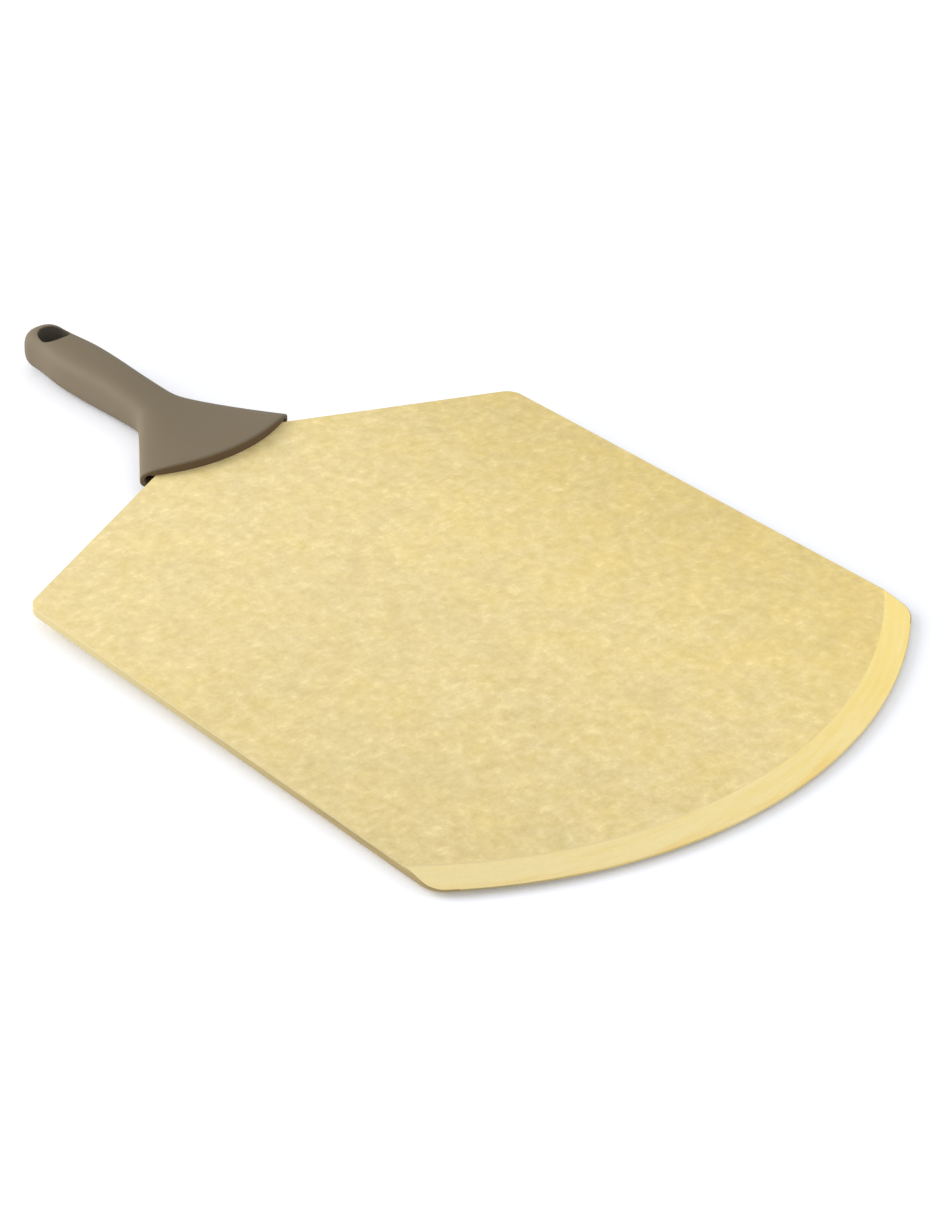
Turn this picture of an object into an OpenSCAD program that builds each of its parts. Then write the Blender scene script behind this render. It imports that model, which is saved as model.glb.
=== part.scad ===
// Pizza serving board: a wood-fibre board with a bevelled front and a flared, soft-skinned handle.
// Origin: centre of the front arc on the board's underside. +Y runs to the handle, +Z is up.

/* [Board] */
// Width across the straight sides
board_w = 355.6; // [300:0.1:420]
// Length from the front of the arc to the end of the handle
overall_len = 584.2; // [520:0.1:640]
// Thickness of the pressed fibre sheet
board_t = 4.76; // [4:0.01:6]
// Radius of the front arc
front_r = 292.1; // [280:0.1:300]
// Rounding where the arc meets each side
front_corner_r = 14; // [8:1:24]
// Width across the shoulders, level with the mouth's corners
shoulder_w = 77.7; // [72:0.1:84]
// Rounding of the rear corners
rear_corner_r = 11; // [6:1:20]
// Angle of the shoulders to the width, in degrees
shoulder_angle = 23.7; // [22:0.1:26]
// Width of the bevel ground on the top of the front edge
bevel_w = 14.9; // [8:0.1:24]
// Thickness left at the front edge
edge_t = 1.2; // [0.8:0.1:2]

/* [Tang] */
// Width of the tongue that runs into the handle
tang_w = 19; // [16:0.5:20]
// Distance from the mouth's corners back to the tongue's round end
tang_len = 96; // [90:1:102]
// Inside rounding between the shoulders and the tongue
tang_fillet_r = 12; // [8:1:16]
// Depth of the seat that the handle grips, in each face of the board
seat_depth = 0.25; // [0.15:0.05:0.5]
// Clearance between the seat's edge and the mouth
seat_gap = 0.1; // [0.05:0.05:0.3]

/* [Handle outline] */
// Length from the mouth's corners to the end of the handle
handle_len = 166.1; // [160:0.1:180]
// Width of the flared mouth at its corners
mouth_w = 109.6; // [105:0.1:115]
// Radius of the curved mouth
mouth_r = 108; // [90:1:140]
// Angle of the flare's sides to the handle's length, in degrees
flare_angle = 38.9; // [37:0.1:40.5]
// How gently the flare runs into the grip
flare_blend = 4.6; // [3:0.1:9]
// Width of the grip at its neck
neck_w = 28.6; // [27.6:0.1:33]
// Distance from the mouth's corners back to the neck
neck_back = 74; // [66:1:80]
// Width of the grip at the palm
palm_w = 32.4; // [29:0.1:37]
// Distance from the mouth's corners back to the widest part of the grip
palm_back = 121; // [112:1:130]
// Width of the grip's round end
end_w = 26.4; // [26:0.1:31]

/* [Handle section] */
// Height of the handle's crowned section at the mouth
mouth_h = 16.4; // [15:0.1:18]
// Height of the handle where the palm bears
palm_h = 26; // [24:0.1:30]
// Height of the handle at its round end
end_h = 24.8; // [22:0.1:27]
// Distance from the mouth's corners back to where the handle starts to thicken
thicken_back = 1; // [0:1:10]
// Distance from the mouth's corners back to the thickest part
thick_back = 101; // [92:1:110]
// Squareness of the section, where 2 is an ellipse
section_power = 2.9; // [2.2:0.1:4]
// Squareness of the round end in plan, where 2 is a circle
end_power = 2.46; // [2:0.02:2.8]
// Rounding of the mouth's outer arris
mouth_arris_r = 1.2; // [0.6:0.1:1.8]

/* [Sleeve] */
// Wall of the soft sleeve over the core
sleeve_wall = 2.4; // [2:0.1:2.8]
// Depth of the solid lip behind the mouth
lip_depth = 5; // [4:0.5:7]
// Wall left at each side of the mouth's slot
mouth_wall = 2.4; // [2:0.1:3.2]
// Height of the slot's round ends beyond the board, above and below
slot_relief = 0.5; // [0.3:0.1:1]

/* [Hanging hole] */
// Rounding of the hole's two front corners
hole_corner_r = 6; // [5.5:0.1:6.4]
// Spacing of the two front corners' centres
hole_corner_gap = 7; // [5:0.1:7.5]
// Distance from the grip's round end back to the front corners' centres
hole_corner_back = 20.4; // [20:0.1:21]
// Radius of the hole's rear arc
hole_rear_r = 9; // [8.2:0.1:9.2]
// Distance from the grip's round end back to the rear arc's centre
hole_rear_back = 18.2; // [17.8:0.1:18.8]
// Wall of the core's collar, which lines the hole
collar_wall = 1.8; // [1.4:0.1:2.2]
// Depth of the sleeve's rim over the collar
rim_depth = 0.9; // [0.7:0.1:1.2]

/* [Core] */
// Distance from the sleeve's lip back to the front of the core
core_setback = 6; // [4:0.5:9]
// Clearance between the core and the sleeve
core_gap = 0.15; // [0.1:0.05:0.25]
// Clearance round the board's edge inside the core
tang_gap = 0.25; // [0.15:0.05:0.5]
// Wall of the core round its pockets
core_wall = 2.6; // [2:0.1:3]
// Thickness of the ribs across the core's pockets
rib_t = 2.2; // [1.6:0.1:3]
// Number of pockets in each half of the core
pocket_count = 2; // [1:1:3]

/* [Screws] */
// Number of screws that clamp the core to the tongue
screw_count = 3; // [1:1:3]
// Distance from the mouth's corners back to the first screw
screw_back = 32; // [30:0.5:34]
// Spacing of the screws along the handle
screw_pitch = 25; // [20:0.5:26]
// Thread diameter
screw_d = 4; // [3:0.5:4]
// Head diameter
head_d = 7.6; // [6.5:0.1:8]
// Height of the countersunk head
head_h = 2.2; // [1.8:0.1:2.4]
// Length of each screw with its head
screw_len = 12; // [11:0.5:13]
// Height of the heads above the board's top face
head_above = 3.6; // [3.2:0.1:3.8]
// Depth of the driver's cross recess
recess_depth = 1.4; // [1:0.1:1.6]
// Width of each slot of the cross recess
recess_w = 0.9; // [0.6:0.1:1.2]
// Clearance of each screw in its hole, on the radius
screw_gap = 0.15; // [0.1:0.05:0.3]

/* [Hidden] */
board_color = [0.91, 0.83, 0.61];
sleeve_color = [0.51, 0.46, 0.39];
core_color = [0.2, 0.19, 0.17];
screw_color = [0.72, 0.72, 0.73];
// Points round each section and steps of each curved stretch
section_count = 48;
cavity_count = 36;
arris_count = 4;
flare_count = 9;
grip_count = 13;
end_count = 7;
end_start_share = 0.25;
recess_share = 0.5;
pocket_h_share = 0.5;
// How far cutters overrun, and how far round corners overlap the straight edges they meet
clear = 1;
overlap = 0.005;
$fn = 96;

board_half = board_w / 2;
mid_z = board_t / 2;
end_y = overall_len - front_r;
end_centre_y = end_y - end_w / 2;
mouth_y = end_y - handle_len;
neck_y = mouth_y + neck_back;
palm_y = mouth_y + palm_back;
thicken_y = mouth_y + thicken_back;
thick_y = mouth_y + thick_back;
tang_end_y = mouth_y + tang_len;
screw_y = mouth_y + screw_back;
rear_corner_y = mouth_y - (board_w - shoulder_w) / 2 * tan(shoulder_angle);
blend_y = mouth_y + (mouth_w - neck_w) / 2 / tan(flare_angle);
lip_back_y = mouth_y + lip_depth;
core_front_y = lip_back_y + core_setback;
head_top_z = board_t + head_above;
pocket_front_y = tang_end_y + tang_gap + core_wall + rib_t;
pocket_back_y = end_y - hole_corner_back - hole_corner_r - core_wall;
pocket_len = (pocket_back_y - pocket_front_y - (pocket_count - 1) * rib_t) / pocket_count;
pocket_w = neck_w - 2 * (sleeve_wall + core_gap + core_wall);

function ease(t) = (1 - cos(180 * max(0, min(1, t)))) / 2;
function mix(a, b, t) = a + (b - a) * t;

// Half-width of the grip alone, from its neck by the palm to the round end
function grip_half_w(y) =
    y < palm_y ? mix(neck_w, palm_w, ease((y - neck_y) / (palm_y - neck_y))) / 2
    : mix(palm_w, end_w, ease((y - palm_y) / (end_centre_y - palm_y))) / 2;

// Half-width of the flare alone, a straight line from the mouth's corner
function flare_half_w(y) = mouth_w / 2 - (y - mouth_y) * tan(flare_angle);

// Half-width of the whole handle: the greater of the two, with a rounded change
function handle_half_w(y) =
    let (flare = flare_half_w(y), grip = grip_half_w(y))
    (flare + grip + sqrt(pow(flare - grip, 2) + pow(flare_blend, 2))) / 2;

// Half-height of the handle on its centre line
function handle_half_h(y) =
    y < thick_y ? mix(mouth_h, palm_h, ease((y - thicken_y) / (thick_y - thicken_y))) / 2
    : mix(palm_h, end_h, ease((y - thick_y) / (end_centre_y - thick_y))) / 2;

// How far the mouth's arc falls back at a distance x from the centre line
function mouth_sag(x) = mouth_r - sqrt(pow(mouth_r, 2) - pow(x, 2));

// Share of the mouth's bow that a section keeps: all at the mouth, none where the grip starts
function bow(y) = max(0, min(1, (blend_y - y) / (blend_y - mouth_y)));

// Direction of point i of n round a section, as powers of its sine and cosine
function unit_x(i, n) =
    let (s = sin((i + 0.5) * 360 / n)) sign(s) * pow(abs(s), 2 / section_power);
function unit_z(i, n) =
    let (c = cos((i + 0.5) * 360 / n)) sign(c) * pow(abs(c), 2 / section_power);

// Height of the crowned surface at x on station y, with the wall taken off
function crown_z(x, y, inset) =
    let (share = min(1, abs(x) / (handle_half_w(y) - inset)))
    (handle_half_h(y) - inset) * pow(1 - pow(share, section_power), 1 / section_power);

// One section of the handle, whose side points lie at station y and whose middle bows forward
function section(y, inset, n) =
    let (half = handle_half_w(y) - inset)
    [for (i = [0:n - 1])
        let (
            x = half * unit_x(i, n),
            back = y - bow(y) * (mouth_sag(half) - mouth_sag(x))
        )
        [x, back, mid_z + sign(unit_z(i, n)) * crown_z(x, back, inset)]];

// One section of the round end, turned to an angle about the end's centre
function end_section(angle, inset, n) =
    let (
        half = end_w / 2 - inset,
        high = end_h / 2 - inset,
        reach = pow(pow(cos(angle), end_power) + pow(sin(angle), end_power), -1 / end_power)
    )
    [for (i = [0:n - 1])
        let (r = half * unit_x(i, n) * reach)
        [r * cos(angle), end_centre_y + abs(r) * sin(angle), mid_z + high * unit_z(i, n)]];

// Stations along the flare and the grip, from a start to the round end's centre
function stations(start) = [
    for (i = [1:flare_count]) mix(start, blend_y, i / (flare_count + 1)),
    for (i = [0:grip_count]) mix(blend_y, end_centre_y, i / grip_count)
];

// Every section of the handle's form behind the station start
function body_sections(start, inset, n) = [
    section(start, inset, n),
    for (y = stations(start)) section(y, inset, n),
    for (k = [1:end_count]) end_section(90 * (k - end_start_share) / end_count, inset, n)
];

// The rounded arris of the mouth, as sections that step outward and back
function arris_sections(n) = [
    for (k = [0:arris_count - 1])
        let (angle = 90 * k / arris_count)
        section(
            mouth_y + mouth_arris_r * (1 - cos(angle)),
            mouth_arris_r * (1 - sin(angle)), n)
];

// Closes a stack of equal rings into a solid: walls, a front of top-to-bottom strips
// that keep the mouth's bow, and a rear of side-to-side strips
module ring_solid(rings, n) {
    count = len(rings);
    last = (count - 1) * n;
    walls = [
        for (k = [0:count - 2], i = [0:n - 1])
            let (
                a = k * n + i,
                b = k * n + (i + 1) % n
            )
            each [[a, b + n, b], [a, a + n, b + n]]
    ];
    front = [
        for (i = [0:n / 2 - 2])
            let (
                a = (i + n - n / 4) % n,
                b = (a + 1) % n,
                c = (n + n / 2 - 2 - a) % n,
                d = (n + n / 2 - 1 - a) % n
            )
            each [[a, b, c], [a, c, d]]
    ];
    rear = [
        for (i = [0:n / 2 - 2])
            each [[last + i, last + n - 2 - i, last + i + 1], [last + i, last + n - 1 - i, last + n - 2 - i]]
    ];
    polyhedron(points = [for (ring = rings) each ring], faces = concat(walls, front, rear), convexity = 6);
}

// The shoulder line's distance from the arc's centre, at x from the centre line
function shoulder_y(x) = rear_corner_y + (board_half - x) * tan(shoulder_angle);

// Cuts a corner of an outline back to a fillet of radius r about the centre c, where
// a and b are the directions of its two tangent points
module corner_waste(c, r, a, b) {
    reach = 2 * r;
    difference() {
        polygon([
            c,
            c + reach * [cos(a), sin(a)],
            c + 2 * reach * [cos((a + b) / 2), sin((a + b) / 2)],
            c + reach * [cos(b), sin(b)]
        ]);
        translate(c) circle(r + overlap);
    }
}

// Fills the inside corner between a shoulder and the tongue, for a tongue of the given half-width
module tang_fillet(half) {
    c = [half + tang_fillet_r, shoulder_y(half + tang_fillet_r) + tang_fillet_r / cos(shoulder_angle)];
    touch = c - tang_fillet_r * [sin(shoulder_angle), cos(shoulder_angle)];
    difference() {
        polygon([c, [0, c.y], [0, touch.y], touch]);
        translate(c) circle(tang_fillet_r + overlap);
    }
}

// Plan of the board and its tongue, grown by a clearance behind the shoulders
module board_outline(grow = 0) {
    front_c = [
        board_half - front_corner_r,
        -sqrt(pow(front_r - front_corner_r, 2) - pow(board_half - front_corner_r, 2))
    ];
    rear_c = [
        board_half - rear_corner_r,
        rear_corner_y - rear_corner_r * (1 - sin(shoulder_angle)) / cos(shoulder_angle)
    ];
    lift = grow / cos(shoulder_angle);
    half = tang_w / 2 + grow;
    difference() {
        intersection() {
            union() {
                circle(front_r, $fn = 360);
                translate([-board_half - clear, 0]) square([board_w + 2 * clear, end_y]);
            }
            polygon([
                [-board_half, -front_r - clear],
                [board_half, -front_r - clear],
                [board_half, rear_corner_y + lift],
                [0, shoulder_y(0) + lift],
                [-board_half, rear_corner_y + lift]
            ]);
        }
        for (side = [0, 1]) mirror([side, 0]) {
            corner_waste(front_c, front_corner_r, atan2(front_c.y, front_c.x), 0);
            corner_waste(rear_c, rear_corner_r, 0, 90 - shoulder_angle);
        }
    }
    translate([0, lift]) for (side = [0, 1]) mirror([side, 0]) tang_fillet(half);
    translate([-half, 0]) square([2 * half, tang_end_y - tang_w / 2]);
    translate([0, tang_end_y - tang_w / 2]) circle(half);
}

// Direction of the outward normal of the line that touches two circles on their right side
function tangent_angle(c1, r1, c2, r2) =
    atan2(c2.y - c1.y, c2.x - c1.x) - acos((r1 - r2) / norm(c2 - c1));

// Plan of the space inside the mouth's arc, where the handle covers the board
module seat_outline() {
    lip_half = handle_half_w(mouth_y) - mouth_arris_r;
    translate([0, mouth_y - mouth_sag(lip_half) + mouth_r]) circle(mouth_r + seat_gap, $fn = 360);
}

// Plan of the hanging hole: a rounded triangle with its wide side to the board
module hole_outline() {
    front_c = [hole_corner_gap / 2, end_y - hole_corner_back];
    rear_c = [0, end_y - hole_rear_back];
    angle = tangent_angle(front_c, hole_corner_r, rear_c, hole_rear_r);
    normal = [cos(angle), sin(angle)];
    right = [
        front_c - [0, hole_corner_r],
        front_c + hole_corner_r * normal,
        rear_c + hole_rear_r * normal
    ];
    polygon(concat(right, [for (i = [2:-1:0]) [-right[i].x, right[i].y]]));
    translate(rear_c) circle(hole_rear_r + overlap);
    for (side = [-1, 1]) translate([side * front_c.x, front_c.y]) circle(hole_corner_r + overlap);
}

// The hanging hole's cutter, through the whole height of the handle, grown by a wall
module hole_cutter(grow = 0) {
    translate([0, 0, mid_z - palm_h]) linear_extrude(2 * palm_h) offset(delta = grow) hole_outline();
}

// Children at every screw's place, on the board's top face
module at_screws() {
    for (k = [0:screw_count - 1]) translate([0, screw_y + k * screw_pitch, 0]) children();
}

// Shape of one screw with its head's flat top at head_top_z, grown by a clearance
module screw_form(grow = 0) {
    shank_r = screw_d / 2 + grow;
    head_r = head_d / 2 + grow;
    low = head_top_z - screw_len - grow;
    rotate_extrude() polygon([
        [0, low],
        [shank_r, low],
        [shank_r, head_top_z - head_h],
        [head_r, head_top_z],
        [0, head_top_z]
    ]);
}

// What the ground bevel takes off the front: all that lies above a flat cone about the arc's centre
module bevel_waste() {
    slope = (board_t - edge_t) / bevel_w;
    reach = front_r + 2 * clear;
    intersection() {
        rotate_extrude($fn = 360) polygon([
            [front_r - bevel_w - clear / slope, board_t + clear],
            [front_r + clear, edge_t - slope * clear],
            [front_r + clear, board_t + clear]
        ]);
        translate([-reach, -reach, 0]) cube([2 * reach, reach, board_t + 2 * clear]);
    }
}

// The board: front arc, straight sides, sloped shoulders and the tongue inside the handle
module blade() {
    color(board_color) difference() {
        linear_extrude(board_t) board_outline();
        bevel_waste();
        translate([0, 0, -clear]) linear_extrude(seat_depth + clear) seat_outline();
        translate([0, 0, board_t - seat_depth]) linear_extrude(seat_depth + clear) seat_outline();
        at_screws() translate([0, 0, -clear]) cylinder(r = screw_d / 2 + screw_gap, h = board_t + 2 * clear);
    }
}

// The handle's form behind the core's front, with a wall taken off
module inner_form(inset) {
    ring_solid(body_sections(core_front_y, inset, cavity_count), cavity_count);
}

// The core's collar round the hanging hole, up to a depth below the skin, grown by a clearance
module hole_collar(depth, grow = 0) {
    intersection() {
        inner_form(depth);
        hole_cutter(collar_wall + grow);
    }
}

// The core's whole form, before it is parted
module core_form() {
    inner_form(sleeve_wall + core_gap);
    hole_collar(rim_depth);
}

// Pockets that lighten one half of the core behind the tongue, open at the parting face
module core_pockets() {
    high = pocket_w * pocket_h_share;
    for (k = [0:pocket_count - 1])
        translate([-pocket_w / 2, pocket_front_y + k * (pocket_len + rib_t), mid_z - high / 2])
            cube([pocket_w, pocket_len, high]);
}

// What both halves of the core leave free: the board, the hanging hole and the pockets
module core_waste() {
    translate([0, 0, seat_depth]) linear_extrude(board_t - 2 * seat_depth) board_outline(tang_gap);
    hole_cutter();
    core_pockets();
}

// The half of all space above or below the board's middle
module half_space(up) {
    size = 2 * overall_len;
    translate([-size / 2, -size / 2, mid_z - (up ? 0 : size)]) cube(size);
}

// Upper half of the rigid core, which takes the screws' heads
module core_upper() {
    color(core_color) difference() {
        intersection() {
            core_form();
            half_space(true);
        }
        core_waste();
        at_screws() {
            screw_form(screw_gap);
            translate([0, 0, head_top_z]) cylinder(r = head_d / 2 + screw_gap, h = palm_h);
        }
    }
}

// Lower half of the rigid core, which takes the screws' threads
module core_lower() {
    color(core_color) difference() {
        intersection() {
            core_form();
            half_space(false);
        }
        core_waste();
        at_screws() screw_form(screw_gap);
    }
}

// The screws that clamp the two halves of the core through the tongue
module core_screws() {
    color(screw_color) at_screws() difference() {
        screw_form();
        for (turn = [0, 90]) rotate(turn)
            translate([-head_d * recess_share / 2, -recess_w / 2, head_top_z - recess_depth])
                cube([head_d * recess_share, recess_w, recess_depth + clear]);
    }
}

// Slot in the mouth's lip: close on the board's seat, with round open ends beside its shoulders,
// which run in with the sides of the flare
module mouth_slot() {
    end_r = board_t / 2 + slot_relief;
    half = mouth_w / 2 - (mouth_wall + end_r) / cos(flare_angle);
    ahead = mouth_sag(mouth_w / 2) + clear;
    behind = lip_depth + clear;
    lean = tan(flare_angle);
    high = board_t - 2 * seat_depth + 2 * core_gap;
    translate([0, mouth_y, mid_z - high / 2]) linear_extrude(high) polygon([
        [-half - ahead * lean, -ahead],
        [half + ahead * lean, -ahead],
        [half - behind * lean, behind],
        [behind * lean - half, behind]
    ]);
    for (side = [-1, 1])
        translate([side * half, mouth_y, mid_z]) rotate([-90, 0, side * flare_angle])
            translate([0, 0, -ahead / cos(flare_angle)])
                cylinder(r = end_r, h = (ahead + behind) / cos(flare_angle));
}

// The soft sleeve: crowned flare, palm swell and round end in one skin over the core
module handle_sleeve() {
    color(sleeve_color) difference() {
        ring_solid(
            concat(arris_sections(section_count), body_sections(mouth_y + mouth_arris_r, 0, section_count)),
            section_count);
        ring_solid(body_sections(lip_back_y, sleeve_wall, cavity_count), cavity_count);
        hole_collar(rim_depth - core_gap, core_gap);
        mouth_slot();
        hole_cutter();
    }
}

blade();
core_upper();
core_lower();
core_screws();
handle_sleeve();
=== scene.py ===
"""Looks of a pizza serving board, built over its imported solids.

Lengths are metres in the part's own frame: the origin is the centre of the front arc on
the board's underside, +Y runs to the handle and +Z is up out of the serving face.

The shader maths comes first, then the finishes, the board, the handle and the studio. The
board and the sleeve are modelled here over their solids, and the core and the screws keep
their own solids. A finish sums layers of noise about nought, and the weight of a layer says
how much of it shows.
"""

import logging
import math
from dataclasses import dataclass, field
from enum import Enum, IntEnum
from typing import Any, Iterable, Mapping, Optional, Sequence, Union

import bmesh
import bpy
from mathutils import Matrix, Vector


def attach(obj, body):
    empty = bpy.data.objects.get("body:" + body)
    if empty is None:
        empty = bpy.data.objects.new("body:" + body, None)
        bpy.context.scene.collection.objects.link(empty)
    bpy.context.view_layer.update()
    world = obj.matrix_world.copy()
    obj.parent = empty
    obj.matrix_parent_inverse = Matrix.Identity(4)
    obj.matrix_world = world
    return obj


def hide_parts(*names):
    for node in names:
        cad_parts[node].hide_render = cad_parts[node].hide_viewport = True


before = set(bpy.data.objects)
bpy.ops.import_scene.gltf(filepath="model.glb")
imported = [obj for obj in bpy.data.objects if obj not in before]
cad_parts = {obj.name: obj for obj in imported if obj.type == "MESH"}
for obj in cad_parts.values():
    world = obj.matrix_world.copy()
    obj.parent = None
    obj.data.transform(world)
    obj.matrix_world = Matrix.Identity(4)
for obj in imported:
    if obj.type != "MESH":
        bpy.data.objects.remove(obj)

LOG = logging.getLogger("serving_board")
# Corners closer than this, in metres, are one corner.
WELD = 2e-6
WHITE = (1.0, 1.0, 1.0)
Colour = tuple[float, float, float]
Number = Union[float, "Signal"]
Row = list[Vector]


class Metal(Enum):
    """How a finish conducts, as the shader's Metallic value."""

    NONE = 0.0
    FULL = 1.0


class BoardFinish(IntEnum):
    """The board's finishes, in the order of its materials."""

    FACE = 0
    BEVEL = 1
    EDGE = 2


class SleeveFinish(IntEnum):
    """The sleeve's finishes, in the order of its materials."""

    SKIN = 0
    # The lip's front: the skin painted darker as shade.
    SHADED_LIP = 1


def ease(share: float) -> float:
    """Returns a smooth step of a share, level at 0 and at 1."""
    return (1 - math.cos(math.pi * max(0.0, min(1.0, share)))) / 2


def mix(first: float, second: float, share: float) -> float:
    """Returns the value that lies a share of the way from first to second."""
    return first + (second - first) * share


def spread(first: float, last: float, count: int) -> list[float]:
    """Returns count + 1 values at even steps from first to last."""
    return [mix(first, last, i / count) for i in range(count + 1)]


@dataclass(frozen=True)
class Cloud:
    """A layer of noise: its cells in a metre, its finer layers, their strength and its curl."""

    scale: float
    detail: float = 2.0
    roughness: float = 0.5
    swirl: float = 0.0


@dataclass(frozen=True)
class Grain:
    """Noise in streaks: its cells in a metre along each axis, and its finer layers."""

    scale: tuple[float, float, float]
    detail: float = 2.0

    @property
    def cloud(self) -> Cloud:
        """The noise over the stretched place, whose cells are one unit wide."""
        return Cloud(1.0, self.detail)


class Signal:
    """A shader socket that takes part in sums, so that shader maths reads as plain maths."""

    def __init__(self, paint: "Paint", socket: bpy.types.NodeSocket) -> None:
        """Keeps the socket and the paint whose nodes it belongs to."""
        self.paint = paint
        self.socket = socket

    def maths(self, operation: str, *values: Number) -> "Signal":
        """Adds one Math node.

        Args:
            operation: The node's operation.
            values: Its inputs, in order.

        Returns:
            The node's result.
        """
        return self.paint.add("ShaderNodeMath", {"operation": operation}, dict(enumerate(values)))

    def __add__(self, other: Number) -> "Signal":
        """Returns self + other."""
        return self.maths("ADD", self, other)

    def __radd__(self, other: float) -> "Signal":
        """Returns other + self."""
        return self.maths("ADD", other, self)

    def __sub__(self, other: Number) -> "Signal":
        """Returns self - other."""
        return self.maths("SUBTRACT", self, other)

    def __rsub__(self, other: float) -> "Signal":
        """Returns other - self."""
        return self.maths("SUBTRACT", other, self)

    def __mul__(self, other: Number) -> "Signal":
        """Returns self * other."""
        return self.maths("MULTIPLY", self, other)

    def __rmul__(self, other: float) -> "Signal":
        """Returns other * self."""
        return self.maths("MULTIPLY", other, self)

    def __abs__(self) -> "Signal":
        """Returns self without its sign."""
        return self.maths("ABSOLUTE", self)

    def either(self, other: Number) -> "Signal":
        """Returns the greater of self and other."""
        return self.maths("MAXIMUM", self, other)

    def angle(self, ahead: Number) -> "Signal":
        """Returns in radians how far a place lies off straight ahead, self to the right."""
        return self.maths("ARCTAN2", self, ahead)

    def step(self, low: float, high: float) -> "Signal":
        """Makes a smooth mask of self.

        Args:
            low: Value up to which the mask is 0.
            high: Value from which it is 1.

        Returns:
            The mask.
        """
        return self.paint.add(
            "ShaderNodeMapRange",
            {"interpolation_type": "SMOOTHSTEP"},
            {"Value": self, "From Min": low, "From Max": high},
        )


class Paint:
    """A shader node tree, built node by node."""

    def __init__(self, tree: bpy.types.NodeTree) -> None:
        """Keeps the tree and empties it."""
        self.tree = tree
        self.tree.nodes.clear()

    def add(
        self,
        kind: str,
        settings: Mapping[str, Any],
        sockets: Mapping[Union[int, str], Any],
        out: Union[int, str] = 0,
    ) -> Signal:
        """Adds one node.

        Args:
            kind: The node's type.
            settings: Its settings, set before its sockets.
            sockets: Values or signals for its inputs.
            out: Which output is returned.

        Returns:
            That output.
        """
        node = self.tree.nodes.new(kind)
        for name, value in settings.items():
            setattr(node, name, value)
        for name, value in sockets.items():
            if isinstance(value, Signal):
                self.tree.links.new(value.socket, node.inputs[name])
            else:
                node.inputs[name].default_value = value
        return Signal(self, node.outputs[out])

    def noise(self, place: Signal, cloud: Cloud) -> Signal:
        """Makes noise about nought, near -0.3 to 0.3.

        Args:
            place: Where the noise is read.
            cloud: The layer of noise.

        Returns:
            The noise.
        """
        values = {
            "Scale": cloud.scale,
            "Detail": cloud.detail,
            "Roughness": cloud.roughness,
            "Distortion": cloud.swirl,
        }
        return self.add("ShaderNodeTexNoise", {}, {"Vector": place, **values}) - 0.5

    def stretched(self, place: Signal, turn: float, scale: Sequence[float]) -> Signal:
        """Turns a place about Z and scales it, so that noise over it runs in streaks.

        Args:
            place: The place to turn.
            turn: The angle in degrees.
            scale: Scales along the turned axes.

        Returns:
            The turned and scaled place.
        """
        sockets = {"Vector": place, "Rotation": (0, 0, math.radians(turn)), "Scale": tuple(scale)}
        return self.add("ShaderNodeMapping", {"vector_type": "POINT"}, sockets)

    def blend(
        self, share: Number, first: Union[Signal, Colour], second: Union[Signal, Colour]
    ) -> Signal:
        """Mixes two colours.

        Args:
            share: How much of the second shows.
            first: The first colour.
            second: The second colour.

        Returns:
            The mixed colour.
        """
        # A Mix node has an A, a B and a Result for each kind of value, so its sockets are
        # told by number: 6 and 7 are its colours in, and 2 is its colour out.
        sockets = {0: share, 6: self.colour(first), 7: self.colour(second)}
        return self.add("ShaderNodeMix", {"data_type": "RGBA"}, sockets, 2)

    def shade(self, colour: Union[Signal, Colour], tone: Signal) -> Signal:
        """Returns a colour made lighter or darker by a tone, where 1 leaves it as it is."""
        sockets = {0: colour, "Scale": tone}
        return self.add("ShaderNodeVectorMath", {"operation": "SCALE"}, sockets)

    def bump(self, height: Signal, distance: float) -> Signal:
        """Returns a normal that stands for a height of the given distance in metres."""
        sockets = {"Height": height, "Distance": distance, "Strength": 1.0}
        return self.add("ShaderNodeBump", {}, sockets)

    def seen(self) -> Signal:
        """Tells the rays that show a background: straight, mirrored or through glass.

        Returns:
            1 for those rays and 0 for the rest.
        """
        straight, mirrored, through = (
            self.add("ShaderNodeLightPath", {}, {}, name)
            for name in ("Is Camera Ray", "Is Glossy Ray", "Is Transmission Ray")
        )
        return straight.either(mirrored).either(through)

    def output(self, kind: str, surface: Signal) -> None:
        """Adds an output node of the given type, fed by surface."""
        node = self.tree.nodes.new(kind)
        self.tree.links.new(surface.socket, node.inputs["Surface"])

    @staticmethod
    def colour(value: Any) -> Any:
        """Returns a signal as it is, and three numbers as a colour with full alpha."""
        return value if isinstance(value, Signal) else (*value, 1.0)


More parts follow.
